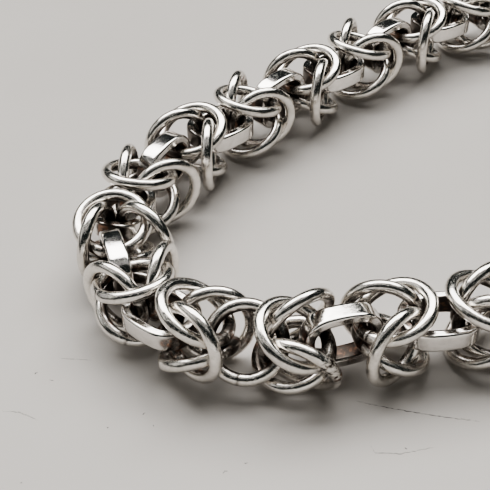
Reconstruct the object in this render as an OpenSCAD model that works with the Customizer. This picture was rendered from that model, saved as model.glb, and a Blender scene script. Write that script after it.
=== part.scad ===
// Byzantine chain: a closed necklace loop lying on a flat surface.
// Knots of four round rings alternate with flat links turned a quarter turn each.
// Z is up. The origin is the middle of the loop's footprint at surface height,
// X runs along the loop and the clasp runs along Y.

/* [Round rings] */
// diameter of the round wire
wire = 1.3; // [1.25:0.01:1.3]
// outside diameter of each round ring
ring_across = 9.1; // [9.1:0.05:9.4]

/* [Flat links] */
// length of a flat link along the chain
link_long = 8.6; // [8.4:0.1:9.2]
// height of a flat link across the chain
link_high = 6.8; // [6.8:0.1:7.2]
// width of the flat strip
link_wide = 2.3; // [2:0.05:2.4]
// thickness of the flat strip
link_thick = 1.15; // [1:0.05:1.25]
// outside radius of a flat link's corners
link_corner = 2.85; // [2.6:0.05:2.9]

/* [Clasp] */
// overall length of the clasp bar
clasp_long = 22; // [20:0.5:28]

/* [Clearance] */
// space set between neighbouring wires
gap = 0.13; // [0.12:0.005:0.14]

/* [Hidden] */
$fn = 64;
up = [0, 0, 1];

// turns in degrees at the knots, from the clasp round the back, through the
// stretch in view and along the front to the clasp again
back_turns = concat([for (i = [1 : 8]) 13], [for (i = [1 : 8]) 0]);
view_turns = [12, -5, 8, -6, 18, 16, 33, 33, 33, 22, -8];
front_turns = concat([for (i = [1 : 11]) 0], [for (i = [1 : 6]) 14]);
// place of the round link in the stretch in view, and its roll in degrees
round_place = 9;
round_roll = -45;

// shares for a ring above, below, inside and outside the bend of a knot:
// tuck and side offset in wires, aim and spread in ring radii
straight_rows = [
    [0.1, 0.6, 0.4, 0.85],
    [0.1, 0.5, 0.5, 1.05],
    [0.05, 0.55, 0.45, 1.25],
    [0.2, 0.45, 0.3, 0.95]
];
// change of those shares over a 30 degree bend, then the share of centring
bend_rows = [
    [0.15, -0.05, 0, -0.05, 0.25],
    [0.25, 0, 0.05, -0.15, 0],
    [-0.1, -0.1, -0.05, 0.2, -0.3],
    [-0.15, 0.15, 0, 0.05, 0]
];
// shares for the eight rings beside the round link, then the share of centring,
// the sideways aim in ring radii and the lean in degrees
round_rows = [
    [0.2, 0.4, 0.5, 1.2, 1.5, -0.2, 6],
    [0.15, 0.4, 0.55, 1.25, 1, -0.05, -11],
    [-0.15, 0.5, 0.4, 1, 0.75, -0.05, 14],
    [0.05, 0.6, 0.5, 0.95, 0.25, -0.1, 3],
    [-0.3, 0.45, 0.4, 0.95, 0.75, 0.05, 9],
    [-0.2, 0.65, 0.5, 1.2, 1, 0.2, 3],
    [0.35, 0.55, 0.35, 0.9, 1, 0.1, -3],
    [0.3, 0.35, 0.55, 1.2, 1.5, 0, 0]
];

function unit(v) = v / norm(v);
function off(v, axis) = v - axis * (v * axis);
function facing(v, w) = v * w >= 0 ? v : -v;
function heading(a) = [cos(a), sin(a), 0];
function bearing(v) = atan2(v.y, v.x);
function wrap(a) = a - 360 * round(a / 360);
function total(list, i = 0) = i == len(list) - 1 ? list[i] : list[i] + total(list, i + 1);
function first(list, n) = [for (i = [0 : 1 : n - 1]) list[i]];
function running(turns) = concat([0], [for (i = [0 : len(turns) - 1]) total(first(turns, i + 1))]);
function corner(a, b, c) = acos((a * a + b * b - c * c) / (2 * a * b));

// wire centre radius, and wire with its clearance
ring_r = (ring_across - wire) / 2;
step = wire + gap;
// distance from a link's middle to the wire threaded in its end
hug = sqrt(pow(ring_r - wire / 2 - gap, 2) - pow(link_wide / 2, 2));
flat_reach = link_long / 2 - link_thick - ring_r + hug;
round_reach = ring_r - 1.5 * step;
knot_span = 2.65 * ring_r - 2.9 * step;
flat_span = knot_span + 2 * flat_reach;
round_span = knot_span + 2 * round_reach;
clasp_shift = (clasp_long - link_long) / 2;

// the loop is three stretches of links closed as a triangle
back_n = len(back_turns) + 1;
view_n = len(view_turns) + 1;
front_n = len(front_turns) + 1;
link_n = back_n + view_n + front_n;
round_i = back_n + round_place;
spans = [for (i = [0 : link_n - 1])
    i == 0 ? flat_span + 2 * clasp_shift : i == round_i ? round_span : flat_span];

function chord(heads, from) = total([for (i = [0 : len(heads) - 1]) spans[from + i] * heading(heads[i])]);

back_heads = [for (h = running(back_turns)) h + 90];
back_chord = chord(back_heads, 0);
view_chord = chord(running(view_turns), back_n);
front_chord = chord(running(front_turns), back_n + view_n);
back_d = norm(back_chord);
view_d = norm(view_chord);
front_d = norm(front_chord);
view_way = bearing(back_chord) + 180 - corner(back_d, view_d, front_d);
front_way = view_way + 180 - corner(view_d, front_d, back_d);
heads = concat(
    back_heads,
    [for (h = running(view_turns)) h + view_way - bearing(view_chord)],
    [for (h = running(front_turns)) h + front_way - bearing(front_chord)]
);
ways = [for (h = heads) heading(h)];
middles = [for (i = 0, p = [0, 0, 0]; i < link_n;
    p = p + spans[i] / 2 * ways[i] + (i < link_n - 1 ? spans[i + 1] / 2 * ways[i + 1] : [0, 0, 0]),
    i = i + 1) p];

// roll of a link's flat side about its own length
function roll(i) = i == round_i ? round_roll : (i - round_i) % 2 == (i < round_i ? -1 : 0) ? 90 : 0;
function side(i) = cos(roll(i)) * cross(up, ways[i]) + sin(roll(i)) * up;

// a link seen from one of its ends: middle, way, side, height direction and whether it is round
function link(i, end) = [
    middles[i] + (i == 0 ? end * clasp_shift : 0) * ways[i],
    ways[i],
    side(i),
    cross(ways[i], side(i)),
    i == round_i
];

// a ring threaded on link x and spread beside link y: middle, way, axis
function ring(x, y, dir, out, row) =
    let (lift = unit(off(out, x[1])))
    let (across = cross(x[1], lift))
    let (reach = (x[4] ? round_reach : flat_reach) - row[0] * step)
    let (near = x[0] + dir * reach * x[1] + row[1] * step * lift)
    let (spread = facing(y[2], out))
    let (aside = cross(y[1], spread) * row[5])
    let (far = y[0] - dir * row[2] * ring_r * y[1] + (row[3] * spread + aside) * ring_r)
    let (u = unit(far - near))
    let (n = unit(off(out, u)))
    let (axis = cos(row[6]) * n + sin(row[6]) * cross(n, u))
    [near + ring_r * (u - row[4] * (u * across) * across), u, axis];

// the row of shares for a ring that leans towards out at a knot with this turn
function shares(k, out, mean_way) =
    out.z > 0.5 ? k[0] : out.z < -0.5 ? k[1] : out * cross(up, mean_way) > 0 ? k[2] : k[3];
function bent_row(out, turn, mean_way) =
    let (hand = turn < 0 ? -1 : 1)
    let (base = shares(straight_rows, out, hand * mean_way))
    let (give = shares(bend_rows, out, hand * mean_way) * abs(turn) / 30)
    [for (j = [0 : 3]) base[j] + give[j], give[4], 0, 0];

function knot(i) =
    let (a = link(i, 1))
    let (b = link((i + 1) % link_n, -1))
    let (turn = wrap(heads[(i + 1) % link_n] - heads[i]))
    let (p = unit(b[2] + facing(a[3], b[2])))
    let (q = unit(a[2] + facing(b[3], a[2])))
    [for (j = [0 : 3])
        let (out = (j < 2 ? p : q) * (j % 2 == 0 ? 1 : -1))
        let (beside = i - round_i + 1)
        let (special = beside == 0 || beside == 1)
        let (row = special ? round_rows[beside * 4 + j] : bent_row(out, turn, a[1] + b[1]))
        j < 2 ? ring(a, b, 1, out, row) : ring(b, a, -1, out, row)];

rings = [for (i = [0 : link_n - 1]) for (r = knot(i)) r];
// the rings reach furthest on every side, and the lowest of them touch the surface
function reach(r, k) = ring_r * norm(off(r[2], axes[k])) + wire / 2;
axes = [[1, 0, 0], [0, 1, 0], up];
low = [for (k = [0 : 2]) min([for (r = rings) r[0][k] - reach(r, k)])];
high = [for (k = [0 : 2]) max([for (r = rings) r[0][k] + reach(r, k)])];
datum = [(low.x + high.x) / 2, (low.y + high.y) / 2, low.z];

// stand a shape with its length along way and its flat side facing axis
module pose(middle, way, axis) {
    side_way = cross(axis, way);
    multmatrix([
        [way.x, side_way.x, axis.x, middle.x - datum.x],
        [way.y, side_way.y, axis.y, middle.y - datum.y],
        [way.z, side_way.z, axis.z, middle.z - datum.z]
    ])
    children();
}

module wire_ring() {
    rotate_extrude() {
        translate([ring_r, 0]) {
            circle(d = wire);
        }
    }
}

// a rectangle with rounded corners
module rounded(long, high, r) {
    square([long - 2 * r, high], center = true);
    square([long, high - 2 * r], center = true);
    for (x = [-1, 1], y = [-1, 1]) {
        translate([x * (long / 2 - r), y * (high / 2 - r)]) {
            circle(r);
        }
    }
}

module link_window() {
    rounded(link_long - 2 * link_thick, link_high - 2 * link_thick, link_corner - link_thick);
}

module flat_link() {
    linear_extrude(link_wide, center = true) {
        difference() {
            rounded(link_long, link_high, link_corner);
            link_window();
        }
    }
}

module knot_rings() {
    color([0.74, 0.74, 0.75]) {
        for (r = rings) {
            pose(r[0], r[1], r[2]) {
                wire_ring();
            }
        }
        pose(middles[round_i], ways[round_i], side(round_i)) {
            wire_ring();
        }
    }
}

module flat_links() {
    color([0.82, 0.82, 0.83]) {
        for (i = [1 : link_n - 1]) {
            if (i != round_i) {
                pose(middles[i], ways[i], side(i)) {
                    flat_link();
                }
            }
        }
    }
}

module clasp() {
    color([0.78, 0.78, 0.79]) {
        pose(middles[0], ways[0], side(0)) {
            linear_extrude(link_wide, center = true) {
                difference() {
                    rounded(clasp_long, link_high, link_corner);
                    for (s = [-1, 1]) {
                        translate([s * clasp_shift, 0]) {
                            link_window();
                        }
                    }
                }
            }
        }
    }
}

union() {
    knot_rings();
}
union() {
    flat_links();
}
union() {
    clasp();
}
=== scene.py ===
import math
import random
from collections import namedtuple

import bpy
import numpy as np
from mathutils import Matrix, Vector


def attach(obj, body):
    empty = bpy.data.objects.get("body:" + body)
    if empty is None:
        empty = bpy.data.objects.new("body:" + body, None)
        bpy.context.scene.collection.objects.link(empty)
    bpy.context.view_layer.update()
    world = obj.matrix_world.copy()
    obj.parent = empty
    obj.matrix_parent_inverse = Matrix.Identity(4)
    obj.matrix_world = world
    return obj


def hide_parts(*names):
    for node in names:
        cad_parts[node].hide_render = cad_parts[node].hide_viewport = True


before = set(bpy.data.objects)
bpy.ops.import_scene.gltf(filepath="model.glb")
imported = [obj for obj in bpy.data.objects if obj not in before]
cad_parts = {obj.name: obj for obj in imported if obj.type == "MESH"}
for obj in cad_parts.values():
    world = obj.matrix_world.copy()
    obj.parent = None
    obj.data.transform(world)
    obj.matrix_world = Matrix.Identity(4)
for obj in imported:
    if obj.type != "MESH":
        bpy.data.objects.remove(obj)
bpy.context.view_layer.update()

MM = 0.001

# Sizes of the chain in millimetres, the same as in the part
WIRE = 1.3
RING_ACROSS = 9.1
LINK_LONG = 8.6
LINK_HIGH = 6.8
LINK_WIDE = 2.3
LINK_THICK = 1.15
LINK_CORNER = 2.85
CLASP_LONG = 22
GAP = 0.13
# In the worn chain the wires touch, so the wire drawn here takes up most of the part's clearance
SEEN_WIRE = WIRE + 0.9 * GAP

# Turns in degrees at the knots, from the clasp round the back, through the stretch in view and
# along the front to the clasp again, as in the part
BACK_TURNS = [13] * 8 + [0] * 8
VIEW_TURNS = [12, -5, 8, -6, 18, 16, 33, 33, 33, 22, -8]
FRONT_TURNS = [0] * 11 + [14] * 6
# Place of the round link in the stretch in view, and its roll in degrees
ROUND_PLACE = 9
ROUND_ROLL = -45

# Shares for a ring above, below, inside and outside the bend of a knot:
# tuck and side offset in wires, aim and spread in ring radii
STRAIGHT_ROWS = [
    [0.1, 0.6, 0.4, 0.85],
    [0.1, 0.5, 0.5, 1.05],
    [0.05, 0.55, 0.45, 1.25],
    [0.2, 0.45, 0.3, 0.95],
]
# Change of those shares over a full bend, then the share of centring
FULL_BEND = 30
BEND_ROWS = [
    [0.15, -0.05, 0, -0.05, 0.25],
    [0.25, 0, 0.05, -0.15, 0],
    [-0.1, -0.1, -0.05, 0.2, -0.3],
    [-0.15, 0.15, 0, 0.05, 0],
]
# Shares for the eight rings beside the round link, then the share of centring,
# the sideways aim in ring radii and the lean in degrees
ROUND_ROWS = [
    [0.2, 0.4, 0.5, 1.2, 1.5, -0.2, 6],
    [0.15, 0.4, 0.55, 1.25, 1, -0.05, -11],
    [-0.15, 0.5, 0.4, 1, 0.75, -0.05, 14],
    [0.05, 0.6, 0.5, 0.95, 0.25, -0.1, 3],
    [-0.3, 0.45, 0.4, 0.95, 0.75, 0.05, 9],
    [-0.2, 0.65, 0.5, 1.2, 1, 0.2, 3],
    [0.35, 0.55, 0.35, 0.9, 1, 0.1, -3],
    [0.3, 0.35, 0.55, 1.2, 1.5, 0, 0],
]

# Wire centre radius, wire with its clearance, and how far links and knots reach
UP = Vector((0, 0, 1))
RING_R = (RING_ACROSS - WIRE) / 2
STEP = WIRE + GAP
HUG = math.sqrt((RING_R - WIRE / 2 - GAP) ** 2 - (LINK_WIDE / 2) ** 2)
FLAT_REACH = LINK_LONG / 2 - LINK_THICK - RING_R + HUG
ROUND_REACH = RING_R - 1.5 * STEP
KNOT_SPAN = 2.65 * RING_R - 2.9 * STEP
CLASP_SHIFT = (CLASP_LONG - LINK_LONG) / 2


# The loop: where each link's middle lies and which way it runs

def heading(degrees):
    return Vector((math.cos(math.radians(degrees)), math.sin(math.radians(degrees)), 0))


def bearing(v):
    return math.degrees(math.atan2(v.y, v.x))


def running(turns):
    """The heading after each turn, from 0."""
    found = [0]
    for turn in turns:
        found.append(found[-1] + turn)
    return found


def corner(a, b, c):
    """Angle between sides a and b of a triangle whose third side is c."""
    return math.degrees(math.acos((a * a + b * b - c * c) / (2 * a * b)))


def chord(stretch_heads, start):
    """From end to end of a stretch of links that starts with link number start."""
    steps = (spans[start + k] * heading(h) for k, h in enumerate(stretch_heads))
    return sum(steps, Vector((0, 0, 0)))


back_n = len(BACK_TURNS) + 1
view_n = len(VIEW_TURNS) + 1
front_n = len(FRONT_TURNS) + 1
link_n = back_n + view_n + front_n
round_i = back_n + ROUND_PLACE
spans = [KNOT_SPAN + 2 * FLAT_REACH] * link_n
spans[0] += 2 * CLASP_SHIFT
spans[round_i] = KNOT_SPAN + 2 * ROUND_REACH

# The three stretches close as a triangle
back_heads = [h + 90 for h in running(BACK_TURNS)]
back_chord = chord(back_heads, 0)
view_chord = chord(running(VIEW_TURNS), back_n)
front_chord = chord(running(FRONT_TURNS), back_n + view_n)
back_d, view_d, front_d = back_chord.length, view_chord.length, front_chord.length
view_way = bearing(back_chord) + 180 - corner(back_d, view_d, front_d)
front_way = view_way + 180 - corner(view_d, front_d, back_d)
heads = (
    back_heads
    + [h + view_way - bearing(view_chord) for h in running(VIEW_TURNS)]
    + [h + front_way - bearing(front_chord) for h in running(FRONT_TURNS)]
)
ways = [heading(h) for h in heads]
middles = [Vector((0, 0, 0))]
for i in range(1, link_n):
    middles.append(middles[-1] + spans[i - 1] / 2 * ways[i - 1] + spans[i] / 2 * ways[i])


def side(i):
    """The way a link's flat side faces: a quarter turn on from each flat link to the next."""
    if i == round_i:
        roll = ROUND_ROLL
    elif i < round_i:
        roll = 90 * ((round_i - i) % 2)
    else:
        roll = 90 * (1 - (i - round_i) % 2)
    roll = math.radians(roll)
    return math.cos(roll) * UP.cross(ways[i]) + math.sin(roll) * UP


# The knots: four rings between each two links

LinkEnd = namedtuple("LinkEnd", "middle way side high is_round")
Ring = namedtuple("Ring", "middle way axis")


def link_end(i, end):
    """A link as seen from the knot at its end 1 or -1. The clasp's windows lie off its middle."""
    middle = middles[i] + ((end * CLASP_SHIFT) if i == 0 else 0) * ways[i]
    return LinkEnd(middle, ways[i], side(i), ways[i].cross(side(i)), i == round_i)


def facing(v, w):
    """v, or its opposite if that is nearer to the way of w."""
    return v if v.dot(w) >= 0 else -v


def off(v, axis):
    """v without its part along axis."""
    return v - axis * v.dot(axis)


def place_ring(on, by, direction, out, row):
    """A ring threaded on one link and spread beside the other."""
    tuck, shift, aim, spread, centring, aside, lean = row
    lift = off(out, on.way).normalized()
    across = on.way.cross(lift)
    reach = (ROUND_REACH if on.is_round else FLAT_REACH) - tuck * STEP
    near = on.middle + direction * reach * on.way + shift * STEP * lift
    beside = facing(by.side, out)
    sideways = spread * beside + aside * by.way.cross(beside)
    far = by.middle - direction * aim * RING_R * by.way + sideways * RING_R
    way = (far - near).normalized()
    upright = off(out, way).normalized()
    lean = math.radians(lean)
    axis = math.cos(lean) * upright + math.sin(lean) * upright.cross(way)
    middle = near + RING_R * (way - centring * way.dot(across) * across)
    return Ring(middle, way, axis.normalized())


def shares(rows, out, mean_way):
    """The row for a ring that leans towards out: above, below, inside or outside the bend."""
    if abs(out.z) > 0.5:
        return rows[0] if out.z > 0 else rows[1]
    return rows[2] if out.dot(UP.cross(mean_way)) > 0 else rows[3]


def knot(i):
    """The four rings between link i and the next, two threaded on each."""
    here = link_end(i, 1)
    ahead = link_end((i + 1) % link_n, -1)
    turn = heads[(i + 1) % link_n] - heads[i]
    turn -= 360 * round(turn / 360)
    mean_way = (here.way + ahead.way) * (-1 if turn < 0 else 1)
    p = (ahead.side + facing(here.high, ahead.side)).normalized()
    q = (here.side + facing(ahead.high, here.side)).normalized()
    beside = i - round_i + 1
    made = []
    for j, out in enumerate((p, -p, q, -q)):
        if beside in (0, 1):
            row = ROUND_ROWS[beside * 4 + j]
        else:
            give = [share * abs(turn) / FULL_BEND for share in shares(BEND_ROWS, out, mean_way)]
            straight = shares(STRAIGHT_ROWS, out, mean_way)
            row = [s + g for s, g in zip(straight, give)] + [give[4], 0, 0]
        on, by, direction = (here, ahead, 1) if j < 2 else (ahead, here, -1)
        made.append(place_ring(on, by, direction, out, row))
    return made


knots = [knot(i) for i in range(link_n)]


def furthest(k, sign):
    """How far the knots reach along axis k, on the side that sign gives."""
    reach = [
        sign * ring.middle[k] + RING_R * math.sqrt(max(0, 1 - ring.axis[k] ** 2)) + WIRE / 2
        for rings in knots
        for ring in rings
    ]
    return sign * max(reach)


# The part's origin: the middle of the loop's footprint, at the height of its lowest ring
datum = Vector((
    (furthest(0, -1) + furthest(0, 1)) / 2,
    (furthest(1, -1) + furthest(1, 1)) / 2,
    furthest(2, -1),
))


def spine_of(i):
    """Four places along the chain's middle, from within link i to the knot after it."""
    quarter = spans[i] / 4 * ways[i]
    return [tuple(middles[i] + k * quarter - datum) for k in (-1, 0, 1, 2)]


spine = np.array([place for i in range(link_n) for place in spine_of(i)])


# Meshes

class Shape:
    """Points and faces of a piece as they are added, with the values that its finish reads."""

    def __init__(self):
        self.points = []
        self.faces = []
        self.values = {}
        self.count = 0

    def add_sweep(self, grid, **values):
        """A closed section moved along a closed path: grid is path x section x 3."""
        path, section = grid.shape[:2]
        at = self.count + np.arange(path * section).reshape(path, section)
        ahead = np.roll(at, -1, 0)
        quads = np.stack([at, ahead, np.roll(ahead, -1, 1), np.roll(at, -1, 1)], -1)
        self.faces += quads.reshape(-1, 4).tolist()
        self.points.append(grid.reshape(-1, 3))
        for name, value in values.items():
            spread = np.broadcast_to(value, (path, section)).reshape(-1)
            self.values.setdefault(name, []).append(spread)
        self.count += path * section

    def piece(self, name, finish, slot, *nodes):
        points = np.concatenate(self.points) * MM
        mesh = bpy.data.meshes.new(name)
        mesh.from_pydata(points.tolist(), [], self.faces)
        for value_name, parts in self.values.items():
            set_values(mesh, value_name, np.concatenate(parts))
        finish_piece(mesh, name, finish, slot, *nodes)


def set_values(mesh, name, values):
    """A value at each point of a mesh, for its finish to read."""
    layer = mesh.attributes.new(name, "FLOAT", "POINT")
    layer.data.foreach_set("value", np.asarray(values, dtype=np.float32))


def finish_piece(mesh, name, finish, slot, *nodes):
    """A piece of the chain: it rides on the part's body and stands for the nodes named."""
    mesh.validate()
    mesh.shade_smooth()
    mesh.materials.append(finish)
    obj = bpy.data.objects.new(name, mesh)
    bpy.context.scene.collection.objects.link(obj)
    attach(obj, "root")
    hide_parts(*nodes)


# How far from the chain's middle line it is fully dark with tarnish and painted shade, and how much
# further the dark fades
DARK_CORE = 1.0
DARK_FADE = 2.8


def depth_inside(points, normals):
    """0 on the outside of the chain, 1 in the dark between its links, where tarnish and painted shade
    are laid on.
    """
    flat = points.reshape(-1, 3)
    away = flat[:, None, :] - spine[None, :, :]
    nearest = np.argmin((away ** 2).sum(-1), 1)
    arm = away[np.arange(len(flat)), nearest]
    distance = np.linalg.norm(arm, axis=1)
    outward = (arm * normals.reshape(-1, 3)).sum(1) / np.maximum(distance, 0.01)
    near_middle = np.clip(1 - (distance - DARK_CORE) / DARK_FADE, 0, 1)
    # Wire faces turned towards the chain's middle get more painted shade
    facing_in = np.clip(0.2 - outward, 0, 1)
    return (0.6 * near_middle + 0.4 * facing_in).reshape(points.shape[:2])


# Steps round a ring and round its wire
FINE_RING = (108, 22)
MEDIUM_RING = (84, 18)
COARSE_RING = (48, 12)
# Waves in the wire's thickness round a ring: how many, and how deep
WAVES = ((3, 0.007), (7, 0.005))
# The seam where a ring was closed: half its width, its depth and how far its dark line reaches
SEAM_HALF = 0.04
SEAM_DEPTH = 0.03
SEAM_SHADE = 0.09


def add_ring(shape, ring, steps, rng, seam_at=None, deep_flats=()):
    """A ring of round wire, slightly uneven, with flats worn on it and the fine seam where it closes.

    The seam lies out of sight, in the link that the ring is threaded on, unless seam_at says where.
    deep_flats lists each deeper flat's place round the ring, its lean and its depth."""
    around, section = steps
    middle = np.array(ring.middle - datum)
    along, axis = np.array(ring.way), np.array(ring.axis)
    across = np.cross(axis, along)
    out_of_sight = 180 + rng.uniform(-35, 35)
    start = math.radians(out_of_sight if seam_at is None else seam_at)
    seam = SEAM_HALF / RING_R
    turn = np.concatenate([[0], np.linspace(seam, 2 * math.pi - seam, around)])
    angle = turn + start
    out_way = np.cos(angle)[:, None] * along + np.sin(angle)[:, None] * across
    about = np.linspace(0, 2 * math.pi, section, endpoint=False)
    wall = np.cos(about)[None, :, None] * out_way[:, None, :] + np.sin(about)[None, :, None] * axis
    thick = np.full(len(angle), SEEN_WIRE / 2)
    for count, depth in WAVES:
        thick += depth * (np.sin(count * angle + rng.uniform(0, 6)) - 1)
    thick[0] -= SEAM_DEPTH
    grid = RING_R * out_way[:, None, :] + thick[:, None, None] * wall
    flats = [(rng.uniform(-80, 80), rng.uniform(-70, 70), rng.uniform(0.01, 0.035)) for _ in range(3)]
    for place, tilt, cut in [*flats, *deep_flats]:
        a, t = math.radians(place), math.radians(tilt)
        flat_way = math.cos(t) * (math.cos(a) * along + math.sin(a) * across) + math.sin(t) * axis
        over = grid @ flat_way - (RING_R * math.cos(t) + SEEN_WIRE / 2 - cut)
        grid = grid - np.maximum(over, 0)[..., None] * flat_way
    grid = middle + grid
    from_seam = np.minimum(turn, 2 * math.pi - turn) * RING_R
    shape.add_sweep(
        grid,
        depth=depth_inside(grid, wall),
        along=(angle * RING_R)[:, None],
        wall_x=(SEEN_WIRE / 2 * np.cos(about))[None, :],
        wall_y=(SEEN_WIRE / 2 * np.sin(about))[None, :],
        tone=rng.random(),
        seam=np.exp(-((from_seam / SEAM_SHADE) ** 2))[:, None],
    )


def rounded_path(long, high, radius, per_corner, per_side):
    """Points and outward ways along a rectangle with rounded corners."""
    points, outs = [], []
    for k in range(4):
        mid = Vector((
            (long / 2 - radius) * (1, -1, -1, 1)[k],
            (high / 2 - radius) * (1, 1, -1, -1)[k],
        ))
        for a in np.radians(np.linspace(0, 90, per_corner) + 90 * k):
            out = Vector((math.cos(a), math.sin(a)))
            points.append(mid + radius * out)
            outs.append(out)
        length = (high if k % 2 else long) - 2 * radius
        onward = Vector((-outs[-1].y, outs[-1].x))
        for _ in range(1, per_side):
            points.append(points[-1] + onward * length / per_side)
            outs.append(outs[-1])
    return np.array(points), np.array(outs)


def strip_section(edge, per_edge):
    """Section of the flat strip with softened edges: its points and the way its wall faces there."""
    places, faces = [], []
    for k in range(4):
        mid = np.array([
            (LINK_THICK / 2 - edge) * (1, -1, -1, 1)[k],
            (LINK_WIDE / 2 - edge) * (1, 1, -1, -1)[k],
        ])
        for a in np.radians(np.linspace(0, 90, per_edge) + 90 * k):
            faces.append(np.array([math.cos(a), math.sin(a)]))
            places.append(mid + edge * faces[-1])
        length = (LINK_THICK, LINK_WIDE)[k % 2] - 2 * edge
        wall = length * np.array([-faces[-1][1], faces[-1][0]])
        last = places[-1]
        # Points close to each edge keep the wall between them flat
        for share in (0.08, 0.5, 0.92):
            places.append(last + share * wall)
            faces.append(faces[-1])
    return np.array(places), np.array(faces)


# Steps in a flat link's corner, along its side and round its strip's edge
FINE_STRIP = (12, 5, 4)
COARSE_STRIP = (7, 2, 3)
STRIP_EDGE = 0.3
# A flat link's long sides are bowed out a little, as hammered strip is, this far from its middle
BOW = 0.12
BOW_REACH = 2.2


def add_flat_link(shape, i, steps, rng):
    per_corner, per_side, per_edge = steps
    long, high = LINK_LONG - LINK_THICK, LINK_HIGH - LINK_THICK
    path, outs = rounded_path(long, high, LINK_CORNER - LINK_THICK / 2, per_corner, per_side)
    share = np.clip(1 - (path[:, 0] / BOW_REACH) ** 2, 0, 1)
    path[:, 1] += np.sign(path[:, 1]) * BOW * share ** 2
    outs[:, 0] += np.abs(outs[:, 1]) * 4 * BOW * share * path[:, 0] / BOW_REACH ** 2
    outs /= np.linalg.norm(outs, axis=1, keepdims=True)
    places, faces = strip_section(STRIP_EDGE, per_edge)
    way, axis = np.array(ways[i]), np.array(side(i))
    up_way = np.cross(axis, way)
    out_way = outs[:, :1] * way + outs[:, 1:] * up_way
    line = np.array(middles[i] - datum) + path[:, :1] * way + path[:, 1:] * up_way
    grid = line[:, None, :] + places[None, :, :1] * out_way[:, None, :] + places[None, :, 1:] * axis
    wall = faces[None, :, :1] * out_way[:, None, :] + faces[None, :, 1:] * axis
    run = np.linalg.norm(np.diff(path, axis=0), axis=1)
    shape.add_sweep(
        grid,
        depth=depth_inside(grid, wall),
        along=np.concatenate([[0], np.cumsum(run)])[:, None],
        wall_x=places[None, :, 0],
        wall_y=places[None, :, 1],
        tone=rng.random(),
        seam=0.0,
    )


# Finishes

class Amount:
    """A value in a finish's nodes: sums and products of it are Math nodes."""

    def __init__(self, finish, socket):
        self.finish = finish
        self.socket = socket

    def math(self, operation, *values):
        return self.finish.node("Math", {"operation": operation}, dict(enumerate(values)))

    def __add__(self, other):
        return self.math("ADD", self, other)

    def __radd__(self, other):
        return self.math("ADD", other, self)

    def __sub__(self, other):
        return self.math("SUBTRACT", self, other)

    def __rsub__(self, other):
        return self.math("SUBTRACT", other, self)

    def __mul__(self, other):
        return self.math("MULTIPLY", self, other)

    def __rmul__(self, other):
        return self.math("MULTIPLY", other, self)

    def least(self, other):
        return self.math("MINIMUM", self, other)

    def most(self, other):
        return self.math("MAXIMUM", self, other)

    def ramp(self, start, end):
        """0 on the start side, 1 on the end side, smoothly between."""
        sockets = {"Value": self, "From Min": start, "From Max": end}
        return self.finish.node("MapRange", {"interpolation_type": "SMOOTHSTEP"}, sockets)


class Finish:
    """A material built node by node."""

    def __init__(self, name):
        self.material = bpy.data.materials.new(name)
        self.material.use_nodes = True
        self.tree = self.material.node_tree
        self.tree.nodes.clear()

    def node(self, kind, settings=None, inputs=None, output=0):
        made = self.tree.nodes.new("ShaderNode" + kind)
        for name, value in (settings or {}).items():
            setattr(made, name, value)
        for name, value in (inputs or {}).items():
            if isinstance(value, Amount):
                self.tree.links.new(value.socket, made.inputs[name])
            else:
                made.inputs[name].default_value = value
        return Amount(self, made.outputs[output])

    def place(self):
        return self.node("TexCoord", output="Object")

    def value_at_point(self, name):
        return self.node("Attribute", {"attribute_name": name}, output="Fac")

    def noise(self, place, size, detail=2.0, rough=0.5, warp=0.0):
        """Noise whose patches are about size millimetres across."""
        sockets = {"Vector": place, "Scale": 1 / (size * MM)}
        sockets |= {"Detail": detail, "Roughness": rough, "Distortion": warp}
        return self.node("TexNoise", None, sockets)

    def spot(self, place, centre, reach):
        """1 near a place on the chain, in millimetres, fading to 0 at reach from it."""
        sockets = {0: place, 1: tuple(c * MM for c in centre)}
        away = self.node("VectorMath", {"operation": "DISTANCE"}, sockets, output="Value")
        return 1 - away.ramp(0.5 * reach * MM, reach * MM)

    def blend(self, share, low, high):
        """Colour low where share is 0, high where it is 1."""
        sockets = {0: share, 6: low, 7: high}
        return self.node("Mix", {"data_type": "RGBA"}, sockets, output=2)

    def bump(self, height, strength, distance, normal=None):
        """Relief of height, up to distance millimetres deep, on top of an earlier one."""
        sockets = {"Height": height, "Strength": strength, "Distance": distance * MM}
        if normal is not None:
            sockets["Normal"] = normal
        return self.node("Bump", None, sockets)

    def done(self, shader):
        output = self.tree.nodes.new("ShaderNodeOutputMaterial")
        self.tree.links.new(shader.socket, output.inputs["Surface"])
        return self.material


# Dark brown of tarnish, also laid on as painted shade in the recesses
TARNISH_AND_SHADE = (0.060, 0.045, 0.035, 1)
COPPER_STAIN = (0.34, 0.17, 0.10, 1)


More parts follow.
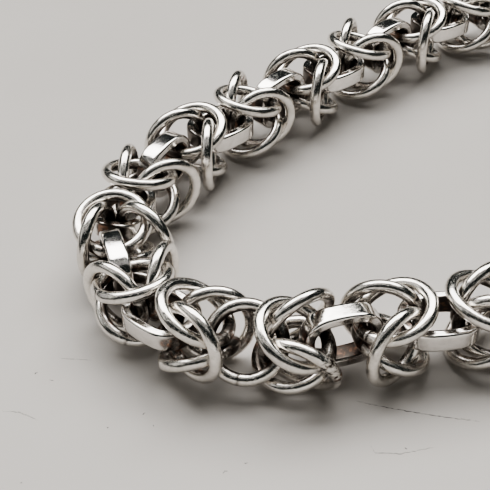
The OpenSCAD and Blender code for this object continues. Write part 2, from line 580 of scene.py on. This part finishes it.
def silver(name, bright, dull, gloss, wear, coppery=(), darkened_spots=(), pitted=()):
    """Polished sterling: tarnish and painted shade left in the recesses, drawing lines, handling marks
    and local stains.

    The coppery, darkened and pitted places are listed in millimetres with how far each reaches; the
    darkening on the low strip by the table is painted shade."""
    finish = Finish(name)
    place = finish.place()
    tone = finish.value_at_point("tone")
    cloud = finish.noise(place, 0.8, 4, 0.6).ramp(0.35, 0.75)
    patches = finish.noise(place, 1.1, 4, 0.65, 0.4)

    # Stains and painted shade: tarnish with painted shade in the recesses, reddened in places, and the
    # ones at places of their own
    tarnish_and_shade = (finish.value_at_point("depth") + 0.8 * (patches - 0.5)).ramp(0.22, 0.56)
    copper = 0.8 * finish.noise(place, 1.9, 2, 0.5, 0.6).ramp(0.55, 0.7)
    # Dark spots darken the metal; on the low strip by the table this is painted shade
    for centre, reach in darkened_spots:
        tarnish_and_shade = tarnish_and_shade.most(finish.spot(place, centre, reach) * (0.4 + 0.9 * patches))
    for centre, reach in coppery:
        here = finish.spot(place, centre, reach)
        tarnish_and_shade = tarnish_and_shade.most(0.8 * here)
        copper = copper.most(here * patches.ramp(0.45, 0.65))
    stain_and_shade = finish.blend(copper, TARNISH_AND_SHADE, COPPER_STAIN)
    metal = finish.blend((0.45 * cloud + 0.3 * tone).least(1), bright, dull)
    # The metal darkens to it with the tarnish and painted shade of the recesses and the seam's dark
    # line
    colour = finish.blend((0.9 * tarnish_and_shade).most(0.6 * finish.value_at_point("seam")), metal, stain_and_shade)

    # Relief, from broad dents to the lines of drawing and the finest scratches
    drawn = finish.node("CombineXYZ", None, {
        "X": finish.value_at_point("along") * (0.05 * MM),
        "Y": (finish.value_at_point("wall_x") + 9 * tone) * MM,
        "Z": finish.value_at_point("wall_y") * MM,
    })
    marks = finish.noise(place, 0.16, 2, 0.6, 2.5).ramp(0.6, 0.75)
    pits = finish.noise(place, 0.07, 2, 0.5).ramp(0.66, 0.8)
    scratches = finish.noise(place, 0.12, 4, 0.75) - marks.most(pits)
    normal = finish.bump(finish.noise(place, 1.3, 2), 0.35, 0.05)
    normal = finish.bump(finish.noise(place, 0.4, 3, 0.6), 0.5 * wear, 0.02, normal)
    normal = finish.bump(finish.noise(drawn, 0.1, 3, 0.65), 0.5, 0.008, normal)
    normal = finish.bump(scratches, 0.6 * wear, 0.015, normal)
    roughness = gloss + (0.1 * wear) * cloud + 0.14 * marks + 0.2 * tarnish_and_shade
    for centre, reach in pitted:
        rough = finish.spot(place, centre, reach)
        craters = finish.noise(place, 0.45, 3, 0.6, 0.3)
        normal = finish.bump(craters * rough, 1.0, 0.25, normal)
        colour = finish.blend(rough * craters.ramp(0.52, 0.42), colour, stain_and_shade)
        roughness = roughness + 0.1 * rough

    return finish.done(finish.node("BsdfPrincipled", None, {
        "Base Color": colour,
        "Metallic": 1.0,
        "Roughness": roughness,
        "Normal": normal,
    }))


def table_top():
    """A pale painted top, very slightly uneven."""
    finish = Finish("pale table")
    place = finish.place()
    mottle = finish.noise(place, 25, 4, 0.6)
    return finish.done(finish.node("BsdfPrincipled", None, {
        "Base Color": finish.blend(mottle, (0.60, 0.575, 0.548, 1), (0.65, 0.622, 0.594, 1)),
        "Roughness": 0.5 + 0.15 * mottle,
        "Normal": finish.bump(finish.noise(place, 1.2, 4), 0.15, 0.08),
    }))


def table_mark():
    """The grey of a scratch in the paint, broken along its length."""
    finish = Finish("table mark")
    broken = finish.noise(finish.place(), 0.3, 2, 0.6).ramp(0.38, 0.55)
    return finish.done(finish.node("BsdfPrincipled", None, {
        "Base Color": (0.13, 0.12, 0.115, 1),
        "Roughness": 0.7,
        "Alpha": finish.value_at_point("dark") * (0.35 + broken),
    }))


BRIGHT_WIRE = (0.92, 0.89, 0.85, 1)
DULL_WIRE = (0.64, 0.61, 0.56, 1)
BRIGHT_STRIP = (0.95, 0.925, 0.90, 1)
DULL_STRIP = (0.74, 0.71, 0.67, 1)
# Places on the chain in millimetres: a rough patch of wire, a stained strip between two near knots,
# darkened with painted shade where it lies low by the table, and the reddened and the dark end of the
# strip at the bend
ROUGH_WIRE = (-83.9, -37.4, 6.0)
STAINED_AND_SHADED_STRIP = (-80.9, -32.1, 3.0)
REDDENED_END = (-99.4, -28.6, 5.4)
DARK_END = (-98.4, -29.0, 5.2)

wire_finish = silver("round wire silver", BRIGHT_WIRE, DULL_WIRE, 0.11, 1.0, pitted=[(ROUGH_WIRE, 2.6)])
strip_finish = silver(
    "flat strip silver", BRIGHT_STRIP, DULL_STRIP, 0.09, 0.4,
    coppery=[(STAINED_AND_SHADED_STRIP, 1.7), (REDDENED_END, 0.9)],
    # The dark spot on the low strip by the table is painted shade
    darkened_spots=[(DARK_END, 1.9), (STAINED_AND_SHADED_STRIP, 2.5)],
)
clasp_finish = silver("clasp silver", DULL_STRIP, DULL_WIRE, 0.22, 0.8)


# The rings

rng = random.Random(7)
# Knots and links by their number from the clasp
BEND_KNOTS = range(21, 29)
FAR_KNOTS = range(14, 21)
LINKS_IN_VIEW = range(15, 30)
# By knot and ring: where a seam shows, and flats worn deeper than usual
SEAMS = {(24, 0): -88, (24, 1): 43}
ROUND_SEAM = 97
DEEP_FLATS = {
    (24, 0): [(-70, 40, 0.10), (-95, 15, 0.08)],
    (25, 3): [(-36, 0, 0.36)],
    (26, 1): [(30, 30, 0.1)],
}

bend_rings, far_rings, other_rings = Shape(), Shape(), Shape()
for i, rings in enumerate(knots):
    for j, ring in enumerate(rings):
        if i in BEND_KNOTS:
            deep_flats = DEEP_FLATS.get((i, j), ())
            add_ring(bend_rings, ring, FINE_RING, rng, SEAMS.get((i, j)), deep_flats)
        elif i in FAR_KNOTS:
            add_ring(far_rings, ring, MEDIUM_RING, rng)
        else:
            add_ring(other_rings, ring, COARSE_RING, rng)
round_link = Ring(middles[round_i], ways[round_i], side(round_i))
add_ring(bend_rings, round_link, FINE_RING, rng, ROUND_SEAM)
bend_rings.piece("rings_of_the_bend", wire_finish, "round_wire", "knot_rings")
far_rings.piece("rings_of_the_far_side", wire_finish, "round_wire", "knot_rings")
other_rings.piece("rings_of_the_rest", wire_finish, "round_wire", "knot_rings")


# The flat links

links_in_view, other_links = Shape(), Shape()
for i in range(1, link_n):
    if i == round_i:
        continue
    if i in LINKS_IN_VIEW:
        add_flat_link(links_in_view, i, FINE_STRIP, rng)
    else:
        add_flat_link(other_links, i, COARSE_STRIP, rng)
links_in_view.piece("flat_links_in_view", strip_finish, "flat_strip", "flat_links")
other_links.piece("flat_links_of_the_rest", strip_finish, "flat_strip", "flat_links")


# The clasp

def clasp_outline(edge):
    """The bar's outline and its two windows as a filled curve with rounded edges."""
    curve = bpy.data.curves.new("clasp_outline", "CURVE")
    curve.dimensions = "2D"
    curve.fill_mode = "BOTH"
    curve.extrude = (LINK_WIDE / 2 - edge) * MM
    curve.bevel_depth = edge * MM
    curve.bevel_resolution = 4
    curve.offset = -edge * MM
    bar = rounded_path(CLASP_LONG, LINK_HIGH, LINK_CORNER, 10, 6)[0]
    window_long, window_high = LINK_LONG - 2 * LINK_THICK, LINK_HIGH - 2 * LINK_THICK
    window = rounded_path(window_long, window_high, LINK_CORNER - LINK_THICK, 8, 3)[0]
    for path, shift in ((bar, 0), (window, -CLASP_SHIFT), (window, CLASP_SHIFT)):
        spline = curve.splines.new("POLY")
        spline.points.add(len(path) - 1)
        for point, (x, y) in zip(spline.points, path):
            point.co = ((x + shift) * MM, y * MM, 0, 1)
        spline.use_cyclic_u = True
    return curve


def clasp_mesh():
    """A flat bar with a window at each end, in place of a link."""
    curve = clasp_outline(0.45)
    holder = bpy.data.objects.new("clasp_outline", curve)
    bpy.context.scene.collection.objects.link(holder)
    bpy.context.view_layer.update()
    depsgraph = bpy.context.evaluated_depsgraph_get()
    mesh = bpy.data.meshes.new_from_object(holder.evaluated_get(depsgraph))
    bpy.data.objects.remove(holder)
    bpy.data.curves.remove(curve)

    # Tarnish and painted shade gather round the windows, where the rings rub
    lying = np.array([tuple(v.co) for v in mesh.vertices]) / MM
    long_share = (abs(lying[:, 0]) - CLASP_SHIFT) / (LINK_LONG / 2)
    from_window = np.hypot(long_share, lying[:, 1] / (LINK_HIGH / 2))
    way, axis = ways[0], side(0)
    up_way = axis.cross(way)
    stand = Matrix((way, up_way, axis)).transposed().to_4x4()
    stand.translation = (middles[0] - datum) * MM
    mesh.transform(stand)
    points = np.array([tuple(v.co) for v in mesh.vertices]) / MM
    set_values(mesh, "depth", np.clip(1.3 - 1.2 * from_window, 0.2, 0.45))
    set_values(mesh, "tone", np.full(len(points), 0.4))
    set_values(mesh, "seam", np.zeros(len(points)))
    set_values(mesh, "along", points @ np.array(way))
    set_values(mesh, "wall_x", points @ np.array(axis))
    set_values(mesh, "wall_y", points @ np.array(up_way))
    return mesh


finish_piece(clasp_mesh(), "clasp_bar", clasp_finish, "clasp_bar", "clasp")


# The table, and the scratches and specks on it

def lay_on_table(name, points, faces, finish):
    mesh = bpy.data.meshes.new(name)
    mesh.from_pydata(points, [], faces)
    mesh.materials.append(finish)
    obj = bpy.data.objects.new(name, mesh)
    bpy.context.scene.collection.objects.link(obj)
    return mesh


# Each runs through these points in millimetres, then its half width and how dark it is
TABLE_MARKS = [
    ([(-81.4, -36.7), (-79.6, -37.9), (-77.6, -39.1), (-74.7, -40.7), (-72.9, -41.6), (-70.4, -42.8)],
     0.06, 0.45),
    ([(-82.0, -42.8), (-81.9, -43.8), (-79.5, -44.6), (-76.0, -44.7)], 0.05, 0.35),
    ([(-110.0, -22.0), (-106.8, -23.2)], 0.06, 0.25),
    ([(-116.9, -28.0), (-115.3, -28.6), (-113.5, -30.2)], 0.06, 0.25),
    ([(-78.9, -44.0), (-78.7, -44.2)], 0.08, 0.8),
    ([(-103.0, -32.5), (-102.7, -32.3)], 0.07, 0.8),
    ([(-102.2, -34.2), (-102.2, -34.4)], 0.06, 0.7),
    ([(-106.8, -33.2), (-106.7, -33.3)], 0.07, 0.7),
    ([(-116.1, -37.9), (-115.9, -38.0)], 0.08, 0.6),
    ([(-96.9, -42.2), (-96.7, -41.9), (-96.4, -42.0)], 0.05, 0.8),
    ([(-94.6, -41.5), (-94.3, -41.6)], 0.06, 0.6),
    ([(-113.0, -23.6), (-112.7, -23.4)], 0.08, 0.45),
    ([(-111.6, -24.9), (-111.2, -25.1)], 0.07, 0.45),
]
# Length of a ribbon's steps, and how far it wanders, in millimetres
MARK_STEP = 0.25
MARK_WANDER = 0.05


def along_line(line):
    """Places about a step apart along a line of straight runs."""
    path = []
    for start, end in zip(line, line[1:]):
        start, end = Vector(start), Vector(end)
        steps = max(2, round((end - start).length / MARK_STEP))
        path += [start + (end - start) * k / steps for k in range(steps)]
    return [*path, Vector(line[-1])]


def table_marks(height):
    """Thin ribbons just above the table, wandering a little and tapered at both ends."""
    points, faces, darkness = [], [], []
    for line, half_width, dark in TABLE_MARKS:
        path = along_line(line)
        last = len(path) - 1
        for k, spot in enumerate(path):
            run = (path[min(k + 1, last)] - path[max(k - 1, 0)]).normalized()
            beside = Vector((-run.y, run.x))
            taper = math.sqrt(math.sin(math.pi * (k + 0.3) / (last + 0.6)))
            wide = half_width * taper * rng.uniform(0.6, 1.3)
            spot = spot + beside * rng.uniform(-MARK_WANDER, MARK_WANDER)
            for edge in (spot - wide * beside, spot + wide * beside):
                points.append((edge.x * MM, edge.y * MM, height))
            darkness += [dark] * 2
            if k:
                at = len(points) - 4
                faces.append((at, at + 1, at + 3, at + 2))
    mesh = lay_on_table("table_marks", points, faces, table_mark())
    set_values(mesh, "dark", darkness)


# The table in metres, under the wire as drawn here, and the marks a hair above it
TABLE_HALF = 9.0
TABLE_HEIGHT = (WIRE - SEEN_WIRE) / 2 * MM
MARKS_ABOVE = 0.004 * MM
around_table = ((-1, -1), (1, -1), (1, 1), (-1, 1))
table_corners = [(x * TABLE_HALF, y * TABLE_HALF, TABLE_HEIGHT) for x, y in around_table]
lay_on_table("table_top", table_corners, [(0, 1, 2, 3)], table_top())
table_marks(TABLE_HEIGHT + MARKS_ABOVE)


# The camera: where it looks, how far off it stands, and its angles in degrees

LOOK_AT = Vector((-87.46, -15.23, 5.268)) * MM
CAMERA_DISTANCE = 129.7 * MM
CAMERA_LENS = 84.1
azimuth, elevation, tilt = math.radians(13.77), math.radians(39.17), math.radians(-1.68)


def toward(azimuth, elevation):
    """The way to a place at this azimuth, clockwise from +Y, and elevation, both in radians."""
    return Vector((
        math.sin(azimuth) * math.cos(elevation),
        math.cos(azimuth) * math.cos(elevation),
        math.sin(elevation),
    ))


forward = toward(azimuth, -elevation)
level = Vector((math.cos(azimuth), -math.sin(azimuth), 0))
over = level.cross(forward)
right = math.cos(tilt) * level + math.sin(tilt) * over
above = -math.sin(tilt) * level + math.cos(tilt) * over
camera = bpy.data.objects.new("camera", bpy.data.cameras.new("camera"))
camera.data.lens = CAMERA_LENS
camera.data.sensor_width = 36
camera.data.clip_start = 0.005
stand = Matrix((right, above, -forward)).transposed().to_4x4()
stand.translation = LOOK_AT - forward * CAMERA_DISTANCE
camera.matrix_world = stand
bpy.context.scene.collection.objects.link(camera)
bpy.context.scene.camera = camera


# Light: a large soft source above and behind, three faint ones, and a dim room

# Azimuth and elevation in degrees, distance, width and height in metres, power and colour
LIGHTS = {
    "ceiling_light": (13, 62, 4.0, 6.2, 3.0, 163.0, (1, 0.985, 0.965)),
    "left_light": (284, 30, 4.0, 3.2, 2.0, 8.0, (1, 0.98, 0.95)),
    "fill_light": (193, 75, 4.0, 7.2, 1.8, 8.0, (1, 0.98, 0.96)),
    "wall_light": (193, 10, 4.4, 7.2, 1.52, 17.6, (1, 0.96, 0.91)),
}


def soft_light(name, azimuth, elevation, distance, wide, high, power, colour):
    """A lit rectangle that faces the chain."""
    way = toward(math.radians(azimuth), math.radians(elevation))
    data = bpy.data.lights.new(name, "AREA")
    data.shape = "RECTANGLE"
    data.size = wide
    data.size_y = high
    data.energy = power
    data.color = colour
    lamp = bpy.data.objects.new(name, data)
    lamp.rotation_mode = "QUATERNION"
    lamp.location = LOOK_AT + way * distance
    lamp.rotation_quaternion = way.to_track_quat("Z", "Y")
    bpy.context.scene.collection.objects.link(lamp)


for name, values in LIGHTS.items():
    soft_light(name, *values)

world = bpy.data.worlds.new("room")
world.use_nodes = True
world.node_tree.nodes["Background"].inputs["Color"].default_value = (0.016, 0.019, 0.019, 1)
world.node_tree.nodes["Background"].inputs["Strength"].default_value = 1.0
bpy.context.scene.world = world
bpy.context.scene.view_settings.view_transform = "AgX"
bpy.context.scene.view_settings.look = "AgX - High Contrast"
bpy.context.scene.view_settings.exposure = 0.5
